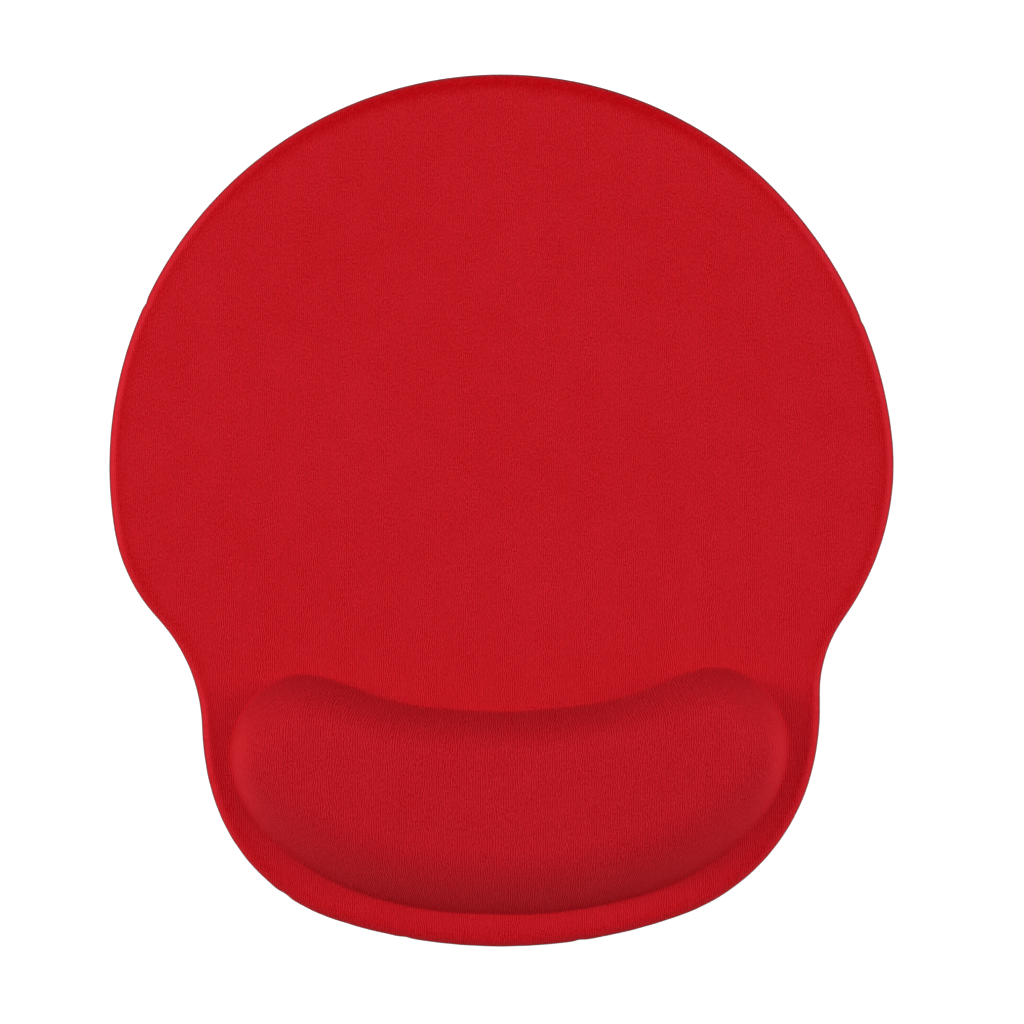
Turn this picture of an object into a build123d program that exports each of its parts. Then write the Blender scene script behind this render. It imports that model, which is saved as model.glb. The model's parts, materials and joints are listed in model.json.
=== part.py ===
from build123d import *
import math
import os

# A mouse mat with a raised wrist rest, laminated from flat and moulded layers.
# X runs to the user's right, Y away from the user and Z up. The mat lies on Z = 0, and the
# origin is under the middle of its bounding box.

# ---- driving dimensions, mm -----------------------------------------------------------------

MAT_LENGTH = 230.0
MAT_TOP = 4.0  # the mouse area, above the desk
BUMP_TOP = 20.0  # the middle of the wrist rest, above the desk

BASE_THICKNESS = 1.2
BASE_BOND_THICKNESS = 0.2
KNIT_THICKNESS = 0.5
COVER_BOND_THICKNESS = 0.2
FOAM_THICKNESS_OVER_CUSHION = 2.2

BASE_LIP = 0.3  # how far the base stands out past the knit
RIM_ROLL_RADIUS = 1.6  # the knit's turn down over the edge of the mat

# The outline is two flanks, and each is a chain of arcs from the far middle of the mat round to
# the near middle. An arc is (radius, turn in degrees) and is tangent to the one before it. A
# negative radius is a hollow. The two flanks differ a little, as on the real, hand-trimmed mat.
LEFT_ARCS = [
    (103.4, 99.5),  # the round mouse area
    (44.5, 33.5),  # the shoulder
    (-43.5, 41.5),  # the neck
]
RIGHT_ARCS = [
    (101.0, 46.0),  # the round mouse area, a little flatter at its upper right
    (110.7, 37.5),
    (68.0, 23.0),
    (71.5, 19.0),  # the shoulder
    (-34.0, 37.5),  # the neck
]
LEFT_SIDE_RADIUS = 71.0
LEFT_CORNER_RADIUS = 49.5
RIGHT_SIDE_RADIUS = 69.0
RIGHT_CORNER_RADIUS = 54.5
NEAR_EDGE_RADIUS = 140.0

# The crease that the wrist rest rises from: the right half of a kidney shape, from its near
# middle round to its far middle.
CREASE_HALF = [
    (0.0, -106.3),
    (16.5, -105.5),
    (35.4, -101.6),
    (50.8, -94.9),
    (63.4, -85.2),
    (71.0, -74.0),
    (73.1, -61.4),
    (67.9, -49.0),
    (53.7, -42.2),
    (34.0, -48.4),
    (17.0, -51.9),
    (0.0, -52.9),
]
BUMP_CENTRE = (2.3, -75.0)  # the wrist rest sits a little right of the mat's middle
BUMP_TILT = 1.0  # degrees

# The wall of the wrist rest is steepest at the crease and levels out where it ends, at its reach.
# It is a mix of a gentle wall and a steep one, each of which rises as 1 - (1 - share) ** power,
# with share the way in from the crease as a share of the reach. The long walls are all gentle,
# and the walls at the ends of the rest mostly steep, with a shoulder above.
NEAR_WALL = 18.0  # the reach on the near side
FAR_WALL = 13.0  # on the far side, at the middle of the rest
LOBE_WALL = 15.5  # on the far side, at the middle of each lobe
LOBE_HALF = 60.0  # from the middle of the rest to that of a lobe
END_WALL = 16.0
GENTLE_POWER = 2.1
STEEP_POWER = 8.0
END_STEEP_SHARE = 0.7
WALL_LEVELS = [0, 0.3, 0.55, 0.75, 0.9, 1.0]  # of the wall's sections, as shares of its rise
CROWN_RISE = 0.4  # from the end of the wall up to the middle of the rest
CROWN_INSET = 2.0
CLOSE_ENOUGH = 0.00001  # for a share found by halving

# ---- worked out from these ------------------------------------------------------------------

BOND_TOP = BASE_THICKNESS + BASE_BOND_THICKNESS
FOAM_DEPTH = KNIT_THICKNESS + COVER_BOND_THICKNESS  # from the outside of the mat to its foam
CUSHION_DEPTH = FOAM_DEPTH + FOAM_THICKNESS_OVER_CUSHION
FAR_MIDDLE = Vector(0, MAT_LENGTH / 2)
NEAR_MIDDLE = Vector(0, -MAT_LENGTH / 2)


def corner_centre(side_centre, side_radius, near_centre, corner_radius, hand):
    """The centre of the arc that rounds a near corner: it touches the side's circle and the
    near edge's circle, both from inside."""
    to_side = side_radius - corner_radius
    to_near = NEAR_EDGE_RADIUS - corner_radius
    line = near_centre - side_centre
    along = (to_side**2 + line.length**2 - to_near**2) / (2 * line.length)
    across = math.sqrt(to_side**2 - along**2)
    ahead = line.normalized()
    crossings = [
        side_centre + ahead * along + ahead.rotate(Axis.Z, turn) * across for turn in (-90, 90)
    ]
    return max(crossings, key=lambda point: hand * point.X)


def draw_flank(arcs, side_radius, corner_radius, hand):
    """Draws one flank of the outline. hand is 1 for the right one and -1 for the left one."""
    point = FAR_MIDDLE
    heading = Vector(hand, 0)
    for radius, turn in arcs:
        way = -hand if radius > 0 else hand
        arc = JernArc(point, heading, abs(radius), way * turn)
        point, heading = arc @ 1, arc % 1

    side_centre = point + heading.rotate(Axis.Z, -90 * hand) * side_radius
    near_centre = NEAR_MIDDLE + Vector(0, NEAR_EDGE_RADIUS)
    corner = corner_centre(side_centre, side_radius, near_centre, corner_radius, hand)
    side_end = side_centre + (corner - side_centre).normalized() * side_radius
    corner_end = near_centre + (corner - near_centre).normalized() * NEAR_EDGE_RADIUS
    for centre, radius, end in [
        (side_centre, side_radius, side_end),
        (corner, corner_radius, corner_end),
        (near_centre, NEAR_EDGE_RADIUS, NEAR_MIDDLE),
    ]:
        turn = (point - centre).get_angle(end - centre)
        arc = JernArc(point, heading, radius, -hand * turn)
        point, heading = arc @ 1, arc % 1


with BuildSketch() as outline:
    with BuildLine():
        draw_flank(LEFT_ARCS, LEFT_SIDE_RADIUS, LEFT_CORNER_RADIUS, hand=-1)
        draw_flank(RIGHT_ARCS, RIGHT_SIDE_RADIUS, RIGHT_CORNER_RADIUS, hand=1)
    make_face()


def crease_points():
    """The whole crease in its place, round from its near middle by way of the right."""
    left_half = [(-x, y) for x, y in CREASE_HALF[-2:0:-1]]
    centre = Vector(*BUMP_CENTRE)
    upright_centre = Vector(0, BUMP_CENTRE[1])
    return [
        (Vector(*point) - upright_centre).rotate(Axis.Z, BUMP_TILT) + centre
        for point in CREASE_HALF + left_half
    ]


CREASE = crease_points()
# Every section of the wrist rest takes its points at the same parameters, so that the loft
# runs straight up from one section to the next and doesn't ripple.
EVEN_STEPS = [i / len(CREASE) for i in range(len(CREASE) + 1)]


def inward(i):
    """The direction from the crease's point i towards the middle of the wrist rest."""
    along = CREASE[(i + 1) % len(CREASE)] - CREASE[i - 1]
    return along.rotate(Axis.Z, 90).normalized()


def wall_shape(i):
    """The reach of the wall at the crease's point i, and how much of it is steep."""
    facing = inward(i)
    if facing.Y > 0:
        long_wall = NEAR_WALL
    else:
        off_middle = (CREASE[i].X - BUMP_CENTRE[0]) / LOBE_HALF
        long_wall = FAR_WALL + (LOBE_WALL - FAR_WALL) * off_middle**2
    reach = END_WALL * facing.X**2 + long_wall * facing.Y**2
    return reach, END_STEEP_SHARE * facing.X**4


def wall_level(share, steep):
    """How high the wall is, as a share of its rise, that share of its reach from the crease."""
    return 1 - (1 - steep) * (1 - share) ** GENTLE_POWER - steep * (1 - share) ** STEEP_POWER


def wall_share(level, steep):
    """The other way round: the share of the wall's reach at which it is so high."""
    low, high = 0, 1
    while high - low > CLOSE_ENOUGH:
        middle = (low + high) / 2
        if wall_level(middle, steep) < level:
            low = middle
        else:
            high = middle
    return high


def bump_sections(depth):
    """The wrist rest's surface, moved in by depth, as (height, outline points) from the crease
    up to the crown. It never starts below the base bond."""
    start = max(BOND_TOP, MAT_TOP - depth)
    rise = BUMP_TOP - CROWN_RISE - depth - start
    shapes = [wall_shape(i) for i in range(len(CREASE))]
    sections = []
    for level in WALL_LEVELS:
        insets = []
        for reach, steep in shapes:
            slope = (GENTLE_POWER * (1 - steep) + STEEP_POWER * steep) * rise / reach
            # Two surfaces that meet at an angle move in together by this much at the corner.
            corner = depth * math.tan(math.atan(slope) / 2)
            insets.append(corner + (reach - corner) * wall_share(level, steep))
        sections.append((start + rise * level, insets))
    sections.append((BUMP_TOP - depth, [reach + CROWN_INSET for reach, _ in shapes]))
    return [
        (height, [CREASE[i] + inward(i) * inset for i, inset in enumerate(insets)])
        for height, insets in sections
    ]


def bump(depth):
    """The wrist rest above the crease, with its surface moved in by depth."""
    with BuildPart() as body:
        for height, points in bump_sections(depth):
            with BuildSketch(Plane.XY.offset(height)):
                with BuildLine():
                    add(Edge.make_spline(points, periodic=True, parameters=EVEN_STEPS))
                make_face()
        loft()
    return body.part


def moulded_mat(depth):
    """Everything above the base bond, with its outside moved in by depth: the flat mat with its
    rolled rim, and the wrist rest on it."""
    raised = bump(depth)
    with BuildPart() as body:
        with BuildSketch(Plane.XY.offset(BOND_TOP)):
            add(outline.sketch)
            offset(amount=-(BASE_LIP + depth))
        extrude(amount=MAT_TOP - depth - BOND_TOP)
        top = body.faces().sort_by(Axis.Z)[-1]
        fillet(top.edges(), RIM_ROLL_RADIUS - depth)
        add(raised)
    return body.part


# ---- the layers, from the outside in --------------------------------------------------------

outside = moulded_mat(0)
under_knit = moulded_mat(KNIT_THICKNESS)
under_cover_bond = moulded_mat(FOAM_DEPTH)
cushion_space = bump(CUSHION_DEPTH)

with BuildPart() as knit_cover:
    add(outside)
    add(under_knit, mode=Mode.SUBTRACT)
knit_cover.part.label = "knit_cover"

with BuildPart() as cover_bond_film:
    add(under_knit)
    add(under_cover_bond, mode=Mode.SUBTRACT)
cover_bond_film.part.label = "cover_bond_film"

with BuildPart() as foam_shell:
    add(under_cover_bond)
    add(cushion_space, mode=Mode.SUBTRACT)
foam_shell.part.label = "foam_shell"

with BuildPart() as wrist_cushion:
    add(cushion_space)
wrist_cushion.part.label = "wrist_cushion"

with BuildPart() as base_bond_film:
    with BuildSketch(Plane.XY.offset(BASE_THICKNESS)):
        add(outline.sketch)
        offset(amount=-BASE_LIP)
    extrude(amount=BASE_BOND_THICKNESS)
base_bond_film.part.label = "base_bond_film"

with BuildPart() as base_sheet:
    with BuildSketch():
        add(outline.sketch)
    extrude(amount=BASE_THICKNESS)
base_sheet.part.label = "base_sheet"

os.makedirs("parts", exist_ok=True)
export_step(knit_cover.part, "parts/knit_cover.step")
export_step(cover_bond_film.part, "parts/cover_bond_film.step")
export_step(foam_shell.part, "parts/foam_shell.step")
export_step(wrist_cushion.part, "parts/wrist_cushion.step")
export_step(base_bond_film.part, "parts/base_bond_film.step")
export_step(base_sheet.part, "parts/base_sheet.step")
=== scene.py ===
import json
import math

import bpy
import numpy as np
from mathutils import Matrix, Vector
from mathutils.geometry import delaunay_2d_cdt


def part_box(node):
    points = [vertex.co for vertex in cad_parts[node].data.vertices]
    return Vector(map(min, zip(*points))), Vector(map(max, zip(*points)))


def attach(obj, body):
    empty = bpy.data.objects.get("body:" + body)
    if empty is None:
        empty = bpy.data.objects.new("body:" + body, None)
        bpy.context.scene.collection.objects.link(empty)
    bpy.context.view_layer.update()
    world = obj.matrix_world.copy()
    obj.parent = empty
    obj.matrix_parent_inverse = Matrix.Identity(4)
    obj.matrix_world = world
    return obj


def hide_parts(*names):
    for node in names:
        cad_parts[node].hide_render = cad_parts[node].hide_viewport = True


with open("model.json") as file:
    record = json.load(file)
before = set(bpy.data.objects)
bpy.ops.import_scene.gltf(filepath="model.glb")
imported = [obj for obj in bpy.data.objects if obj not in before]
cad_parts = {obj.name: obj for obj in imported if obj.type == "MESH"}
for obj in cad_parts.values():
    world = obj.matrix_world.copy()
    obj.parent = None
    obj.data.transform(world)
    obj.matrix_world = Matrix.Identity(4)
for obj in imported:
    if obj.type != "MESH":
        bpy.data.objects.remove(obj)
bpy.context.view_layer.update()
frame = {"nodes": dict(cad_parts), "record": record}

# A mouse mat with a raised wrist rest. X runs to the user's right, Y away from the user, Z up.
# In this script a place on the mat seen from above is one complex number, x + y j, so that a
# closed line is an array of them and a quarter turn is a multiplication by j.

MM = 0.001

# ---- what the frame says --------------------------------------------------------------------

BASE_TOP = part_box("base_sheet")[1].z
BOND_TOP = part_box("base_bond_film")[1].z
BUMP_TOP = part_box("knit_cover")[1].z
KNIT_THICKNESS = BUMP_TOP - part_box("cover_bond_film")[1].z
COVER_BOND_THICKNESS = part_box("cover_bond_film")[1].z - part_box("foam_shell")[1].z
CUSHION_DEPTH = BUMP_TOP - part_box("wrist_cushion")[1].z
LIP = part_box("knit_cover")[0].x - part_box("base_sheet")[0].x  # the base stands out this far
MAT_TOP = next(m["pos_m"][2] for m in frame["record"]["mounts"] if m["name"] == "mouse_area")

# ---- the lines on the mat -------------------------------------------------------------------

SAME_HEIGHT = 0.001 * MM  # a CAD point this close to a height is at it
SAME_PLACE_DECIMALS = 7  # CAD points that agree to so many decimals of a metre are one
OUTLINE_POINTS = 1024
CREASE_POINTS = 512
OUTLINE_WAVES = 70  # what is kept of a CAD line, so that its facets go and its curves stay
CREASE_WAVES = 40
POINTS_AT_ONCE = 2000  # when looking for the nearest point of a line

# How far a stretch of a line faces towards the user or away is a sine, from 0 to 1.
FAR_FROM = 0.55  # a side begins to count as the far one here, and wholly does at 1
NEAR_SPAN = 0.6  # a side wholly counts as the near one here, and begins to at 0
NEAR_FALL_FROM = 0.3  # the mat begins to fall towards its near edge here
NEAR_FALL_SPAN = 0.6  # and this much further on it falls all it does

# The edge was cut by hand: it wanders a little, most of all at the near left and near right.
WANDER = 0.03 * MM
WANDER_NEAR = 0.12 * MM
# (direction from the middle of the mat in degrees, width in radians, share of the near wander)
UNEVEN_SIDES = [(238, 0.35, 1.0), (285, 0.4, 0.6)]
WANDER_WAVES = [(61, 0.3), (38, 1.9), (83, 4.1), (127, 2.2)]  # (waves round the mat, phase)
# (direction from the middle of the mat in degrees, depth, width) of each nick in the cut
NICKS = [
    (27.8, 0.20 * MM, 1.0 * MM),
    (149.7, 0.24 * MM, 1.0 * MM),
    (240.6, 0.26 * MM, 1.6 * MM),
    (257.2, 0.20 * MM, 1.4 * MM),
    (280.4, 0.22 * MM, 1.2 * MM),
]

# ---- the knit's shape -----------------------------------------------------------------------

GRID = 2.4 * MM  # between the points of the flat mat
CROWN_GRID = 1.6 * MM  # between the points of the wrist rest's top
GRID_CLEAR = 1 / 3  # of the spacing, kept between the grid and the rings round it
GLUE_STEP = 2  # the hidden glue film is made of every other point

# The rim rolls down over this width at the edge of the mat.
ROLL_WIDTH_SIDE = 2.4 * MM
ROLL_WIDTH_FAR = 1.5 * MM
RIM_RINGS = 9  # rings up the roll
GROOVE_DEPTH = 0.10 * MM  # of the press line just inside the rim, at the far side
GROOVE_LEAST = 0.15  # the share of that depth that the other sides have
GROOVE_INSET = 2.1 * MM
GROOVE_WIDTH = 0.45 * MM
RIM_WIDTH = 3.2 * MM  # the rim with its press line
PRESS_RING = 0.2 * MM  # between the rings across the press line
NEAR_FALL = 0.3 * MM  # the mat falls this much towards its near edge
NEAR_FALL_WIDTH = 6.0 * MM
KNIT_SHARE_OF_LIP = 0.4  # the knit's cut edge is this share of the base's lip inside its edge

# The wall of the wrist rest, as in the CAD model: from the crease to its reach, a mix of a gentle
# wall and a steep one, each of which rises as 1 - (1 - share) ** power. Here its foot is rounded
# to both sides of the crease.
NEAR_WALL = 18.0 * MM
FAR_WALL = 13.0 * MM
LOBE_WALL = 15.5 * MM  # the far wall at the middle of each lobe
LOBE_HALF = 60.0 * MM
END_WALL = 16.0 * MM
GENTLE_POWER = 2.1
STEEP_POWER = 8.0
END_STEEP_SHARE = 0.7
NEAR_FOOT = 0.4 * MM
FAR_FOOT = 0.5 * MM
END_FOOT = 0.4 * MM
FOOT_RINGS = 8
WALL_RINGS = 28
WALL_CROWDING = 1.5  # a power that crowds the rings together near the foot of the wall
CROWN_RISE = 0.4 * MM  # from the end of the wall up to the middle of the rest
CROWN_SPAN = 8.0 * MM

# ---- the base, the glue and the cushion -----------------------------------------------------

EDGE_BEVEL = 0.15 * MM
GRIP_PITCH = 3.0 * MM  # between the diamonds under the mat
GRIP_DEPTH = 0.28 * MM
GRIP_LAND = 0.36  # half a diamond's flat face, as a share of the pitch
GRIP_MARGIN = 3.5 * MM  # plain rubber round the edge
GRIP_CLEAR = 0.8  # of the pitch, from that margin to the middle of the first diamond
GRIP_EDGE_STEP = 4  # the margin's line is made of every fourth point of the outline
FILM_INSET = 0.35 * MM  # the lower glue film stops this far short of the knit's cut edge
FILM_STEP = 2  # it is made of every other point too
PAD_GRID = 3.2 * MM  # between the points of the cushion's top, half that clear of its rings
PAD_UNDER_GRID = 7.2 * MM  # between those of its underside, a third of that clear

# ---- the knit's pattern ---------------------------------------------------------------------

WALE = 0.54 * MM  # one column of stitches
COURSE = 0.42 * MM  # one row of stitches
STITCH_SLANT = 0.3  # of a row, from one side of a column to the other
STITCH_GAP = 0.65  # how high a column is between two stitches, as a share of its height
RELIEF_MIDDLE = 0.42  # the height that is neither light nor dark
RELIEF_DEPTH = 0.12 * MM
# How much lighter or darker the cloth's patches are, and the painted shade along the press line
# and the painted highlight on the rim.
PATCHES_SHARE = 0.22
WIDE_SHARE = 0.16
PRESS_LINE_SHADE_SHARE = -0.55
HIGHLIGHT_SHARE = 0.4
# The knit's darkest and lightest reds: lying flat, drawn over the rest, and drawn wide open.
FLAT_REDS = (0.465, 0.0, 0.0032), (0.587, 0.0146, 0.0265)
# The reds drawn over the rest are darker: partly the stretched cloth, partly painted shade on the
# rest.
DRAWN_AND_SHADED_REDS = (0.432, 0.0, 0.003), (0.55, 0.0152, 0.0275)
OPEN_REDS = (0.39, 0.0, 0.0022), (0.595, 0.017, 0.031)
# The dark red of the cut edge: partly dark cut fibres, partly painted shade where the roll turns
# down.
EDGE_FIBRE_AND_SHADE_RED = (0.16, 0.012, 0.018)

RIM_HIGHLIGHT_INSET = 1.1 * MM  # a painted highlight on the rolled rim, where the side lights catch it; the cloth there is also smoother
RIM_HIGHLIGHT_WIDTH = 0.65 * MM
FAR_UNLIT = 1.6  # the far rim, which the lights don't catch, is darker by this much of the painted highlight
EDGE_WIDTH = 0.7 * MM  # its very edge is darker: partly dark cut fibres, partly painted shade where the roll turns down
EDGE_FIBRE_AND_SHADE = 0.68  # how far its colour goes to that dark red
EDGE_FIBRE_AND_SHADE_NEAR = 0.3
PRESS_LINE_SHADE_INSET = 2.4 * MM  # just inside the rim, along the press groove, the cloth is painted darker as shade
PRESS_LINE_SHADE_WIDTH = 1.1 * MM
PRESS_LINE_SHADE_LEAST = 0.35  # the share of that painted shade that the sides other than the far one have

STRETCHED_FROM = 3 * MM  # the cloth is fully stretched from this height above the mat
# How clear the columns are, from 0 to 1: they open up where the cloth is stretched.
RIBS_ON_WALL = 1.0
RIBS_ON_TOP = 0.12
RIBS_AROUND = 0.3  # beside the wrist rest
RIBS_REACH = 26 * MM
DRAWN_OUT = 0.11  # the moulding drew the cloth over the wrist rest out sideways by this share


# ---- lines on the mat -----------------------------------------------------------------------


def level_loops(node, height):
    """The closed lines round a CAD node's flat faces at that height, longest first."""
    mesh = frame["nodes"][node].data
    mesh.calc_loop_triangles()
    points = np.array([v.co for v in mesh.vertices])
    triangles = np.array([t.vertices for t in mesh.loop_triangles])
    flat = np.abs(points[triangles][:, :, 2] - height).max(axis=1) < SAME_HEIGHT
    place = (points[:, 0] + 1j * points[:, 1]).round(SAME_PLACE_DECIMALS)
    places, same = np.unique(place, return_inverse=True)
    triangles = same[triangles[flat]]
    edges = {(a, b) for t in triangles.tolist() for a, b in zip(t, t[1:] + t[:1])}
    onward = {a: b for a, b in edges if (b, a) not in edges}
    loops = []
    while onward:
        start, here = onward.popitem()
        loop = [start]
        while here != start:
            loop.append(here)
            here = onward.pop(here)
        loops.append(places[loop])
    return sorted(loops, key=lambda loop: -np.abs(loop - np.roll(loop, 1)).sum())


def even_loop(loop, count, waves):
    """The closed line again, counter-clockwise, as evenly spaced points without facets."""
    if (loop.conj() * np.roll(loop, -1)).imag.sum() < 0:
        loop = loop[::-1]
    closed = np.append(loop, loop[0])
    along = np.append(0, np.abs(np.diff(closed)).cumsum())
    evenly = np.linspace(0, along[-1], count, endpoint=False)
    spectrum = np.fft.fft(np.interp(evenly, along, closed))
    spectrum[waves:-waves] = 0
    return np.fft.ifft(spectrum)


def inward(loop):
    """The direction into a counter-clockwise closed line, at each of its points."""
    along = np.roll(loop, -1) - np.roll(loop, 1)
    return 1j * along / np.abs(along)


def nearest(points, loop):
    """How far each point is from the loop, and the index of the loop's point nearest to it."""
    away, at = [], []
    for part in np.array_split(points, math.ceil(len(points) / POINTS_AT_ONCE)):
        apart = np.abs(part[:, None] - loop)
        away.append(apart.min(axis=1))
        at.append(apart.argmin(axis=1))
    return np.concatenate(away), np.concatenate(at)


def inside(points, loop):
    """Whether each point is inside a counter-clockwise closed line."""
    _, at = nearest(points, loop)
    return ((points - loop[at]) * inward(loop)[at].conj()).real > 0


def smoothstep(x):
    """Rises smoothly from 0 to 1 while x does."""
    x = np.clip(x, 0, 1)
    return x * x * (3 - 2 * x)


def facing_far(loop):
    """From 0 to 1, how much each point of a closed line faces away from the user."""
    return smoothstep((-inward(loop).imag - FAR_FROM) / (1 - FAR_FROM))


def cut_by_hand(loop):
    """The outline as it was cut: never outside the true one, a little uneven, with nicks."""
    turn = np.unwrap(np.angle(loop))
    near_sides = 0
    for degrees, width, share in UNEVEN_SIDES:
        off = (turn % math.tau) - math.radians(degrees)
        near_sides = near_sides + share * np.exp(-((off / width) ** 2))
    wander = sum(np.sin(k * turn + phase) for k, phase in WANDER_WAVES) / len(WANDER_WAVES)
    most = WANDER + (WANDER_NEAR - WANDER) * np.clip(near_sides, 0, 1)
    inset = most * (1 + wander) / 2
    for degrees, depth, width in NICKS:
        way = np.exp(1j * math.radians(degrees))
        middle = loop[np.abs(np.exp(1j * turn) - way).argmin()]
        inset += depth * np.exp(-((np.abs(loop - middle) / width) ** 2))
    return loop + inward(loop) * inset


outline = even_loop(level_loops("base_sheet", 0)[0], OUTLINE_POINTS, OUTLINE_WAVES)
cut = cut_by_hand(outline)
knit_edge = cut + inward(outline) * KNIT_SHARE_OF_LIP * LIP
crease = even_loop(level_loops("knit_cover", MAT_TOP)[1], CREASE_POINTS, CREASE_WAVES)


def by_facing(near, far, end):
    """A size of the wall at each point of the crease, blended by the way the wall faces."""
    facing = inward(crease)
    return end * facing.real**2 + np.where(facing.imag > 0, near, far) * facing.imag**2


off_middle = (crease.real - crease.real.mean()) / LOBE_HALF
wall = by_facing(NEAR_WALL, FAR_WALL + (LOBE_WALL - FAR_WALL) * off_middle**2, END_WALL)
foot = by_facing(NEAR_FOOT, FAR_FOOT, END_FOOT)
steep = END_STEEP_SHARE * inward(crease).real ** 4


# ---- heights --------------------------------------------------------------------------------


def rim_height(points):
    """The height of the mat without its wrist rest: flat, with a rolled and pressed rim."""
    inset, at = nearest(points, knit_edge)
    far = facing_far(outline)[at]
    roll = ROLL_WIDTH_SIDE + (ROLL_WIDTH_FAR - ROLL_WIDTH_SIDE) * far
    rise = np.sqrt(1 - np.clip(1 - inset / roll, 0, 1) ** 2)
    depth = GROOVE_DEPTH * (GROOVE_LEAST + (1 - GROOVE_LEAST) * far)
    groove = depth * np.exp(-(((inset - GROOVE_INSET) / GROOVE_WIDTH) ** 2))
    near = smoothstep((inward(outline).imag[at] - NEAR_FALL_FROM) / NEAR_FALL_SPAN)
    fall = NEAR_FALL * near * np.clip(1 - inset / NEAR_FALL_WIDTH, 0, 1) ** 2
    return BOND_TOP + (MAT_TOP - fall - BOND_TOP) * rise - groove


def wall_level(share, steep_share):
    """How high the wall is, as a share of its rise, that share of its reach from the crease."""
    left = np.clip(1 - share, 0, None)
    return 1 - (1 - steep_share) * left**GENTLE_POWER - steep_share * left**STEEP_POWER


def bump_height(points):
    """How far the wrist rest rises above the flat mat."""
    away, at = nearest(points, crease)
    away = np.where(inside(points, crease), away, -away)
    rounded = np.clip(away + foot[at], 0, None) ** 2 / (4 * foot[at])
    share = np.where(away < foot[at], rounded, away) / wall[at]
    rise = BUMP_TOP - MAT_TOP - CROWN_RISE
    crown = CROWN_RISE * smoothstep((away - wall[at]) / CROWN_SPAN)
    return rise * wall_level(share, steep[at]) + crown


def height(points):
    return rim_height(points) + bump_height(points)


# ---- meshes ---------------------------------------------------------------------------------


INSIDE_ONLY = 1  # tells delaunay_2d_cdt to leave out triangles outside the outer ring
CDT_TOLERANCE = 1e-9


class Shape:
    """Points and faces of one mesh, put together from closed rings of points."""

    def __init__(self):
        self.places = []
        self.heights = []
        self.faces = []

    def add(self, places, heights):
        """Adds points and gives their indices."""
        first = sum(len(part) for part in self.places)
        self.places.append(np.asarray(places))
        self.heights.append(np.broadcast_to(heights, len(places)))
        return np.arange(first, first + len(places))

    def band(self, outer, inner):
        """Faces between two counter-clockwise rings of as many points, seen from above or, on
        a wall, from outside."""
        ring = np.stack([outer, np.roll(outer, -1), np.roll(inner, -1), inner], axis=1)
        self.faces += ring.tolist()

    def bands(self, rings):
        for outer, inner in zip(rings, rings[1:]):
            self.band(outer, inner)

    def fill(self, outer, hole=None, extra=(), edges=(), keep=None, up=True):
        """Triangles inside a ring, past an optional hole, over the extra points and along the
        edges given. Only those whose middles pass keep are left."""
        rings = [ring for ring in (outer, hole) if ring is not None]
        used = np.concatenate([*rings, *extra]).astype(int)
        at = {k: i for i, k in enumerate(used.tolist())}
        sides = [pair for ring in rings for pair in zip(ring, np.roll(ring, -1))]
        sides = [(at[a], at[b]) for a, b in [*sides, *edges]]
        places = np.concatenate(self.places)
        flat = [Vector((p.real, p.imag)) for p in places[used]]
        made = delaunay_2d_cdt(flat, sides, [], INSIDE_ONLY, CDT_TOLERANCE)
        _, _, triangles, source, _, _ = made
        triangles = used[np.array([[source[i][0] for i in t] for t in triangles])]
        middles = places[triangles].mean(axis=1)
        if hole is not None:
            triangles = triangles[~inside(middles, places[hole])]
        if keep is not None:
            triangles = triangles[keep(middles)]
        self.faces += (triangles if up else triangles[:, ::-1]).tolist()

    def mesh_object(self, name):
        places = np.concatenate(self.places)
        points = np.stack([places.real, places.imag, np.concatenate(self.heights)], axis=1)
        mesh = bpy.data.meshes.new(name)
        mesh.from_pydata(points.tolist(), [], self.faces)
        mesh.polygons.foreach_set("use_smooth", [True] * len(mesh.polygons))
        mesh.update()
        made = bpy.data.objects.new(name, mesh)
        bpy.context.scene.collection.objects.link(made)
        return made


def grid_inside(loop, spacing, clear, hole=None):
    """Points in a triangular grid inside a closed line, that far clear of it and of a hole."""
    lo, hi = min(loop.real) + 1j * min(loop.imag), max(loop.real) + 1j * max(loop.imag)
    rows = np.arange(lo.imag, hi.imag, spacing * math.sqrt(0.75))
    columns = np.arange(lo.real, hi.real, spacing)
    shifted = columns[None, :] + spacing / 2 * (np.arange(len(rows)) % 2)[:, None]
    points = (shifted + 1j * rows[:, None]).ravel()
    points = points[inside(points, loop) & (nearest(points, loop)[0] > clear)]
    if hole is not None:
        points = points[~inside(points, hole) & (nearest(points, hole)[0] > clear)]
    return points


def cloth_places(points):
    """Where each point of the cover lies on the flat cloth that it was moulded from."""
    raised = smoothstep(bump_height(points) / (BUMP_TOP - MAT_TOP))
    return points - DRAWN_OUT * raised * (points.real - crease.real.mean())


def share_attribute(piece, name, values):
    """Gives each point of a piece a number that its material reads."""
    attribute = piece.data.attributes.new(name, "FLOAT", "POINT")
    attribute.data.foreach_set("value", np.asarray(values, np.float32))


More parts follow.
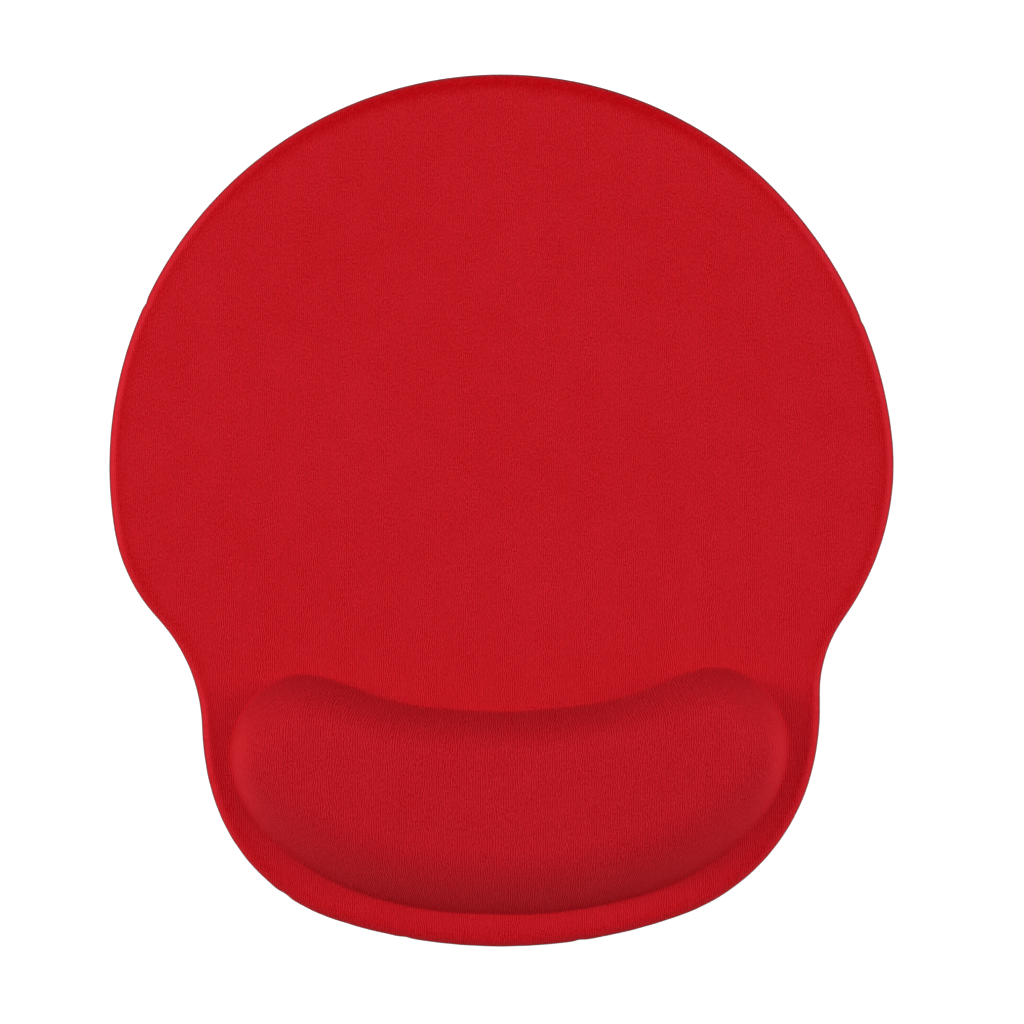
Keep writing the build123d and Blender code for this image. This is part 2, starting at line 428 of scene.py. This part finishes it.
def moulded_sheet(name, step=1):
    """A sheet over the whole mat, one moulded surface from edge to edge, and the places of its
    points. A step above 1 leaves out points."""
    sheet = Shape()
    edge, edge_in = knit_edge[::step], inward(outline)[::step]
    line, line_in = crease[::step], inward(crease)[::step]
    wall_end, foot_end = wall[::step], foot[::step]

    turns = [math.pi / 2 * k / RIM_RINGS for k in range(1, RIM_RINGS)]
    rolled = [ROLL_WIDTH_FAR * (1 - math.cos(turn)) for turn in turns]
    insets = [*rolled, *np.arange(ROLL_WIDTH_FAR, RIM_WIDTH, step * PRESS_RING)]
    rings = [sheet.add(edge, BOND_TOP)]
    for inset in insets:
        places = edge + edge_in * inset
        rings.append(sheet.add(places, height(places)))
    sheet.bands(rings)

    offsets = [foot_end * share for share in np.linspace(-1, 1, FOOT_RINGS)]
    climb = [(k / WALL_RINGS) ** WALL_CROWDING for k in range(step, WALL_RINGS + 1, step)]
    offsets += [foot_end + (wall_end - foot_end) * share for share in climb]
    bump_rings = []
    for offset in offsets:
        places = line + line_in * offset
        bump_rings.append(sheet.add(places, height(places)))
    sheet.bands(bump_rings)

    rim_line, foot_line = edge + edge_in * insets[-1], line - line_in * foot_end
    flat = grid_inside(rim_line, step * GRID, step * GRID * GRID_CLEAR, foot_line)
    sheet.fill(rings[-1], bump_rings[0], [sheet.add(flat, height(flat))])
    wall_line, spacing = line + line_in * wall_end, step * CROWN_GRID
    crown = grid_inside(wall_line, spacing, spacing * GRID_CLEAR)
    sheet.fill(bump_rings[-1], extra=[sheet.add(crown, height(crown))])
    return sheet.mesh_object(name), np.concatenate(sheet.places)


def thicken(piece, thickness):
    """Makes a sheet that thick, downwards."""
    modifier = piece.modifiers.new("thickness", "SOLIDIFY")
    modifier.thickness = thickness
    modifier.offset = -1


def make_knit_cover():
    """The knit, with the numbers that its material reads at each point."""
    piece, places = moulded_sheet("knit_top")
    cloth = cloth_places(places)
    share_attribute(piece, "cloth_across", cloth.real)
    share_attribute(piece, "cloth_along", cloth.imag)

    inset, at = nearest(places, knit_edge)
    far = facing_far(outline)[at]
    near = smoothstep(inward(outline).imag / NEAR_SPAN)[at]
    # A painted highlight on the rolled rim, left out at the far and near sides where the lights
    # don't catch it. The material also smooths the cloth's relief and fibres there.
    rim_highlight = np.exp(-(((inset - RIM_HIGHLIGHT_INSET) / RIM_HIGHLIGHT_WIDTH) ** 2))
    share_attribute(piece, "rim", rim_highlight * (1 - (FAR_UNLIT * far + near)))
    # The cut edge goes dark, partly from dark cut fibres and partly as painted shade, less of it
    # at the near side.
    edge_fibre_and_shade = EDGE_FIBRE_AND_SHADE + (EDGE_FIBRE_AND_SHADE_NEAR - EDGE_FIBRE_AND_SHADE) * near
    share_attribute(piece, "edge", edge_fibre_and_shade * (1 - smoothstep(inset / EDGE_WIDTH)))
    # Painted shade along the press groove just inside the rim, most of it at the far side.
    pressed = np.exp(-(((inset - PRESS_LINE_SHADE_INSET) / PRESS_LINE_SHADE_WIDTH) ** 2))
    press_line_shade_share = PRESS_LINE_SHADE_LEAST + (1 - PRESS_LINE_SHADE_LEAST) * far
    share_attribute(piece, "pressed", pressed * press_line_shade_share)

    risen = bump_height(places)
    on_wall = smoothstep(risen / STRETCHED_FROM)
    on_top = smoothstep(risen / (BUMP_TOP - MAT_TOP))
    around = RIBS_AROUND * np.exp(-((nearest(places, crease)[0] / RIBS_REACH) ** 2))
    ribs = np.maximum(around, RIBS_ON_WALL + (RIBS_ON_TOP - RIBS_ON_WALL) * on_top)
    share_attribute(piece, "stretch", on_wall)
    share_attribute(piece, "ribs", around + (ribs - around) * on_wall)
    thicken(piece, KNIT_THICKNESS)
    return piece


def make_cover_bond():
    """The glue film that follows the knit everywhere on its underside."""
    piece, _ = moulded_sheet("cover_glue", GLUE_STEP)
    normals = [normal.vector.copy() for normal in piece.data.vertex_normals]
    for vertex, normal in zip(piece.data.vertices, normals):
        vertex.co -= normal * KNIT_THICKNESS
        vertex.co.z = max(vertex.co.z, BOND_TOP)
    thicken(piece, COVER_BOND_THICKNESS)
    return piece


def make_cushion():
    """The soft foam inside the wrist rest: a crowned closed pad, flat underneath."""
    cushion = Shape()
    into = inward(crease)
    bottom = crease + into * CUSHION_DEPTH
    rise = BUMP_TOP - CROWN_RISE - CUSHION_DEPTH - BOND_TOP
    rings = [cushion.add(bottom, BOND_TOP)]
    for k in range(1, WALL_RINGS + 1):
        share = (k / WALL_RINGS) ** WALL_CROWDING
        places = bottom + into * (wall - CUSHION_DEPTH) * share
        rings.append(cushion.add(places, BOND_TOP + rise * wall_level(share, steep)))
    cushion.bands(rings)
    top_line = crease + into * wall
    crown = grid_inside(top_line, PAD_GRID, PAD_GRID / 2)
    swell = CROWN_RISE * smoothstep(nearest(crown, top_line)[0] / CROWN_SPAN)
    cushion.fill(rings[-1], extra=[cushion.add(crown, BOND_TOP + rise + swell)])
    under = grid_inside(bottom, PAD_UNDER_GRID, PAD_UNDER_GRID / 3)
    cushion.fill(rings[0], extra=[cushion.add(under, BOND_TOP)], up=False)
    return cushion.mesh_object("wrist_pad")


def make_base():
    """The rubber base, with a grip of low diamonds pressed into its underside."""
    base = Shape()
    into = inward(outline)
    under = base.add(cut + into * EDGE_BEVEL, 0.0)
    lower = base.add(cut, EDGE_BEVEL)
    upper = base.add(cut, BASE_TOP - EDGE_BEVEL)
    top = base.add(cut + into * EDGE_BEVEL, BASE_TOP)
    base.bands([under, lower, upper, top])
    base.fill(top)

    # The diamonds are squares of a lattice that is turned by 45 degrees.
    lattice = GRIP_PITCH * np.exp(0.25j * math.pi)
    field_line = (cut + into * GRIP_MARGIN)[::GRIP_EDGE_STEP]
    count = math.ceil(np.abs(cut).max() / GRIP_PITCH)
    steps = np.arange(-count, count + 1)
    cells = (steps[:, None] + 1j * steps).ravel()
    clear = nearest(cells * lattice, field_line)[0] > GRIP_CLEAR * GRIP_PITCH
    cells = cells[clear & inside(cells * lattice, field_line)]

    # Each diamond is a flat land, with a slope on each side up into the groove round it.
    corner = np.array([1 + 1j, -1 + 1j, -1 - 1j, 1 - 1j]) / 2
    corners, same = np.unique(cells[:, None] + corner, return_inverse=True)
    squares = base.add(corners * lattice, GRIP_DEPTH)[same].reshape(-1, 4)
    lands = (cells[:, None] + corner * 2 * GRIP_LAND) * lattice
    lands = base.add(lands.ravel(), 0.0).reshape(-1, 4)
    sides = set()
    for square, land in zip(squares.tolist(), lands.tolist()):
        base.faces.append(land[::-1])
        for k in range(4):
            a, b = square[k - 1], square[k]
            base.faces.append([b, a, land[k - 1], land[k]])
            sides.add((a, b))
    border = sorted((a, b) for a, b in sides if (b, a) not in sides)

    def off_diamonds(places):
        """Whether each place is outside every diamond's cell."""
        cell = places / lattice
        return ~np.isin(cell.real.round() + 1j * cell.imag.round(), cells)

    field_edge = base.add(field_line, 0.0)
    base.fill(under, field_edge, up=False)
    base.fill(field_edge, extra=[np.unique(border)], edges=border, keep=off_diamonds, up=False)
    return base.mesh_object("rubber_base")


def make_base_bond():
    """The glue film between the base and the foam."""
    film = Shape()
    edge = (knit_edge + inward(outline) * FILM_INSET)[::FILM_STEP]
    bottom = film.add(edge, BASE_TOP)
    top = film.add(edge, BOND_TOP)
    film.band(bottom, top)
    film.fill(top)
    film.fill(bottom, up=False)
    return film.mesh_object("base_glue")


# ---- materials ------------------------------------------------------------------------------


class Nodes:
    """A short way to write a material's nodes."""

    def __init__(self, name):
        self.material = bpy.data.materials.new(name)
        self.material.use_nodes = True
        self.tree = self.material.node_tree
        self.shader = self.tree.nodes["Principled BSDF"]

    def put(self, socket, value):
        if isinstance(value, bpy.types.NodeSocket):
            self.tree.links.new(value, socket)
        else:
            socket.default_value = value

    def math(self, operation, *values):
        node = self.tree.nodes.new("ShaderNodeMath")
        node.operation = operation
        for socket, value in zip(node.inputs, values):
            self.put(socket, value)
        return node.outputs[0]

    def sum_of(self, total, *terms):
        for term in terms:
            total = self.math("ADD", total, term)
        return total

    def off_middle(self, value, amount, middle=0.5):
        """How far the value is off its middle, times the amount."""
        return self.math("MULTIPLY", self.math("SUBTRACT", value, middle), amount)

    def attribute(self, name):
        """A number that the mesh gives at each point."""
        node = self.tree.nodes.new("ShaderNodeAttribute")
        node.attribute_name = name
        return node.outputs["Fac"]

    def place(self):
        """The point of the surface, in metres, in the row frame."""
        return self.tree.nodes.new("ShaderNodeTexCoord").outputs["Object"]

    def vector(self, x, y, z=0.0):
        node = self.tree.nodes.new("ShaderNodeCombineXYZ")
        for socket, value in zip(node.inputs, (x, y, z)):
            self.put(socket, value)
        return node.outputs[0]

    def noise(self, vector, size, detail=2.0, roughness=0.5):
        """Noise from 0 to 1 with features of about that size, in metres."""
        node = self.tree.nodes.new("ShaderNodeTexNoise")
        self.put(node.inputs["Vector"], vector)
        node.inputs["Scale"].default_value = 1 / size
        node.inputs["Detail"].default_value = detail
        node.inputs["Roughness"].default_value = roughness
        return node.outputs["Fac"]

    def voronoi(self, vector, size):
        """The distance from the middle of cells of about that size, in metres."""
        node = self.tree.nodes.new("ShaderNodeTexVoronoi")
        self.put(node.inputs["Vector"], vector)
        node.inputs["Scale"].default_value = 1 / size
        return node.outputs["Distance"]

    def remap(self, value, low, high, from_low=0.0, from_high=1.0):
        """The value stretched from its own range to low and high, and kept between them."""
        node = self.tree.nodes.new("ShaderNodeMapRange")
        for name, given in (
            ("Value", value),
            ("From Min", from_low),
            ("From Max", from_high),
            ("To Min", low),
            ("To Max", high),
        ):
            self.put(node.inputs[name], given)
        return node.outputs[0]

    def tint(self, share, low, high):
        """A colour from low to high."""
        node = self.tree.nodes.new("ShaderNodeMix")
        node.data_type = "RGBA"
        self.put(node.inputs["Factor"], share)
        for name, colour in (("A", low), ("B", high)):
            linked = isinstance(colour, bpy.types.NodeSocket)
            self.put(node.inputs[name], colour if linked else (*colour, 1))
        return node.outputs["Result"]

    def bump(self, value, distance, strength=1.0):
        node = self.tree.nodes.new("ShaderNodeBump")
        self.put(node.inputs["Height"], value)
        node.inputs["Distance"].default_value = distance
        node.inputs["Strength"].default_value = strength
        self.put(self.shader.inputs["Normal"], node.outputs[0])

    def finish(self, **values):
        """Sets the shader's sockets and gives the material."""
        for name, value in values.items():
            self.put(self.shader.inputs[name.replace("_", " ")], value)
        return self.material


def knit_material():
    """Warp-knit polyester with a little elastane: fine columns of slanting stitches."""
    n = Nodes("red_knit")
    across, along = n.attribute("cloth_across"), n.attribute("cloth_along")
    # rim is the painted highlight band on the rolled rim, where the cloth is also smoother.
    rim, ribs, stretch = n.attribute("rim"), n.attribute("ribs"), n.attribute("stretch")

    turn = n.math("MULTIPLY", across, math.tau / WALE)
    column = n.remap(n.math("COSINE", turn), 0, 1, -1, 1)
    slant = n.math("MULTIPLY", n.math("COSINE", turn), STITCH_SLANT * COURSE)
    row = n.math("MULTIPLY", n.math("ADD", along, slant), math.tau / COURSE)
    stitch = n.remap(n.math("COSINE", row), 0, 1, -1, 1)
    relief = n.math("MULTIPLY", column, n.remap(stitch, STITCH_GAP, 1.0))

    def cloth_noise(size, detail=1.0, shortened=1.0):
        """Noise that lies on the cloth. It is longer along a column if that is shortened."""
        lengthwise = n.math("MULTIPLY", along, shortened)
        return n.noise(n.vector(across, lengthwise), size, detail)

    # Stitches vary in tightness in short runs along a column, each has its own fibres, and the
    # columns are clearer in some places. The cloth varies in patches too.
    runs = cloth_noise(0.5 * MM, shortened=0.5)
    fibres = cloth_noise(0.2 * MM, shortened=0.38)
    clear = cloth_noise(1.8 * MM)
    patches = cloth_noise(9 * MM, detail=3.0)
    wide = cloth_noise(45 * MM)
    opened = n.math("MULTIPLY", n.remap(ribs, 0.9, 9.0), n.remap(clear, -2.6, 3.2))
    hairy = n.math("MULTIPLY", n.remap(ribs, 2.4, 1.0), n.remap(rim, 1.0, 0.4))

    share = n.sum_of(
        0.5,
        n.off_middle(relief, opened, RELIEF_MIDDLE),
        n.off_middle(runs, n.remap(stretch, 0.4, 0.8)),
        n.off_middle(fibres, hairy),
        n.off_middle(patches, PATCHES_SHARE),
        n.off_middle(wide, WIDE_SHARE),
        # painted shade along the press groove
        n.math("MULTIPLY", n.attribute("pressed"), PRESS_LINE_SHADE_SHARE),
        # painted highlight on the rolled rim
        n.math("MULTIPLY", rim, HIGHLIGHT_SHARE),
    )
    level = n.remap(share, 0, 1, 0.15, 0.85)
    open_columns = n.remap(ribs, 0, 1, 0.1, 0.7)
    # On the rest the reds are darker, partly for the stretched cloth and partly as painted shade.
    drawn_and_shaded_reds = [n.tint(open_columns, *reds) for reds in zip(DRAWN_AND_SHADED_REDS, OPEN_REDS)]
    cloth = n.tint(stretch, n.tint(level, *FLAT_REDS), n.tint(level, *drawn_and_shaded_reds))
    n.bump(n.math("MULTIPLY", relief, n.remap(rim, 1.0, 0.3)), RELIEF_DEPTH, 0.8)
    return n.finish(
        # the cut edge goes to a dark red, partly painted shade
        Base_Color=n.tint(n.attribute("edge"), cloth, EDGE_FIBRE_AND_SHADE_RED),
        Roughness=n.remap(relief, 0.92, 0.8),
        Specular_IOR_Level=0.06,
        Sheen_Weight=0.004,
        Sheen_Roughness=0.35,
        Sheen_Tint=(1.0, 0.72, 0.74, 1),
    )


def rubber_material():
    """Black natural rubber, with a fine dusty grain."""
    n = Nodes("black_rubber")
    grain = n.noise(n.place(), 0.35 * MM, 4.0, 0.7)
    dust = n.noise(n.place(), 18 * MM, 3.0)
    share = n.math("ADD", n.math("MULTIPLY", grain, 0.6), n.math("MULTIPLY", dust, 0.4))
    n.bump(grain, 0.04 * MM, 0.5)
    return n.finish(
        Base_Color=n.tint(share, (0.012, 0.011, 0.011), (0.032, 0.030, 0.029)),
        Roughness=n.remap(grain, 0.62, 0.86),
        Specular_IOR_Level=0.35,
    )


def foam_material(name, cell, low, high):
    """Foam with rounded cells of that size."""
    n = Nodes(name)
    cells = n.voronoi(n.place(), cell)
    mottle = n.noise(n.place(), 12 * MM, 3.0)
    share = n.math("ADD", n.math("MULTIPLY", cells, 0.7), n.math("MULTIPLY", mottle, 0.3))
    n.bump(cells, 0.25 * cell, 0.7)
    return n.finish(
        Base_Color=n.tint(share, low, high),
        Roughness=n.remap(cells, 0.8, 0.95),
        Specular_IOR_Level=0.25,
    )


def glue_material():
    """Hot-melt film: milky, faintly streaked from the roller."""
    n = Nodes("bond_film")
    streaks = n.noise(n.place(), 2.5 * MM, 3.0)
    n.bump(streaks, 0.03 * MM, 0.4)
    return n.finish(
        Base_Color=n.tint(streaks, (0.50, 0.47, 0.40), (0.68, 0.65, 0.58)),
        Roughness=n.remap(streaks, 0.35, 0.6),
    )


def paint(piece, material):
    piece.data.materials.clear()
    piece.data.materials.append(material)


# ---- the object -----------------------------------------------------------------------------

glue = glue_material()
foam = foam_material("eva_foam", 0.5 * MM, (0.035, 0.033, 0.034), (0.075, 0.071, 0.072))
soft = foam_material("soft_foam", 0.9 * MM, (0.62, 0.58, 0.47), (0.80, 0.77, 0.66))

knit = make_knit_cover()
paint(knit, knit_material())
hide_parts("knit_cover")
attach(knit, "root")

pad = make_cushion()
paint(pad, soft)
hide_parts("wrist_cushion")
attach(pad, "root")

base = make_base()
paint(base, rubber_material())
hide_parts("base_sheet")
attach(base, "root")

bond = make_base_bond()
paint(bond, glue)
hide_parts("base_bond_film")
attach(bond, "root")

cover_bond = make_cover_bond()
paint(cover_bond, glue)
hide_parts("cover_bond_film")
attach(cover_bond, "root")

paint(frame["nodes"]["foam_shell"], foam)

# ---- the studio -----------------------------------------------------------------------------

FLOOR_HALF = 0.45
FLOOR_DROP = 0.05 * MM  # the paper is this far under the mat, so that the two don't flicker
FLOOR_GREYS = (0.48, 0.48, 0.48), (0.52, 0.52, 0.52)
FLOOR_GLOW = 0.78
PHOTO_WIDTH = 0.2701  # how much of the floor the picture takes in
AIM = Vector((0.0028, -0.0004, 0))  # the middle of the picture
CAMERA_HEIGHT = 2.2
# (name, azimuth and elevation in degrees, distance, size, watts) of each light
LIGHTS = [
    ("over", 90, 70, 0.7, 0.4, 1.3),
    ("left_low", 178, 25, 1.5, 0.5, 12.3),
    ("left_high", 175, 50, 1.5, 0.8, 5.0),
    ("right_grazing", 0, 10, 1.5, 0.5, 3.4),
    ("right_low", 0, 25, 1.5, 0.5, 7.6),
    ("right_high", 0, 52, 1.5, 0.8, 4.8),
]


def make_floor():
    """A sheet of pale paper, bright enough that it shows next to no shadow."""
    mesh = bpy.data.meshes.new("floor")
    h = FLOOR_HALF
    mesh.from_pydata([(-h, -h, 0), (h, -h, 0), (h, h, 0), (-h, h, 0)], [], [(0, 1, 2, 3)])
    made = bpy.data.objects.new("floor", mesh)
    made.location.z = -FLOOR_DROP
    bpy.context.scene.collection.objects.link(made)
    n = Nodes("white_paper")
    tooth = n.noise(n.place(), 1.5 * MM, 2.0)
    paper = n.finish(
        Base_Color=n.tint(tooth, *FLOOR_GREYS),
        Roughness=0.9,
        Specular_IOR_Level=0.0,
        Emission_Color=(1, 1, 1, 1),
        Emission_Strength=FLOOR_GLOW,
    )
    paint(made, paper)


def softbox(name, azimuth, elevation, distance, size, watts):
    """A large soft light aimed at the mat. Azimuth 0 is to the right and 90 beyond the mat."""
    lamp = bpy.data.lights.new(name, "AREA")
    lamp.shape = "DISK"
    lamp.size = size
    lamp.energy = watts
    made = bpy.data.objects.new(name, lamp)
    a, e = math.radians(azimuth), math.radians(elevation)
    way = Vector((math.cos(a) * math.cos(e), math.sin(a) * math.cos(e), math.sin(e)))
    made.location = way * distance
    made.rotation_euler = way.to_track_quat("Z", "Y").to_euler()
    made.visible_camera = False
    bpy.context.scene.collection.objects.link(made)


def make_sky(seen, given):
    """A white room: as bright as seen to the camera, and it lights the mat as given."""
    world = bpy.data.worlds.new("white_room")
    world.use_nodes = True
    bpy.context.scene.world = world
    nodes, links = world.node_tree.nodes, world.node_tree.links
    path = nodes.new("ShaderNodeLightPath")
    level = nodes.new("ShaderNodeMapRange")
    level.inputs["To Min"].default_value = given
    level.inputs["To Max"].default_value = seen
    links.new(path.outputs["Is Camera Ray"], level.inputs["Value"])
    nodes["Background"].inputs["Color"].default_value = (1, 1, 1, 1)
    links.new(level.outputs[0], nodes["Background"].inputs["Strength"])


def make_camera():
    """A camera straight above the mat, as in the photo."""
    camera = bpy.data.objects.new("camera", bpy.data.cameras.new("camera"))
    camera.data.lens = camera.data.sensor_width * CAMERA_HEIGHT / PHOTO_WIDTH
    camera.location = AIM + Vector((0, 0, CAMERA_HEIGHT))
    bpy.context.scene.collection.objects.link(camera)
    bpy.context.scene.camera = camera


make_floor()
for light in LIGHTS:
    softbox(*light)
make_sky(seen=1.1, given=0.08)
make_camera()
bpy.context.scene.view_settings.view_transform = "Standard"
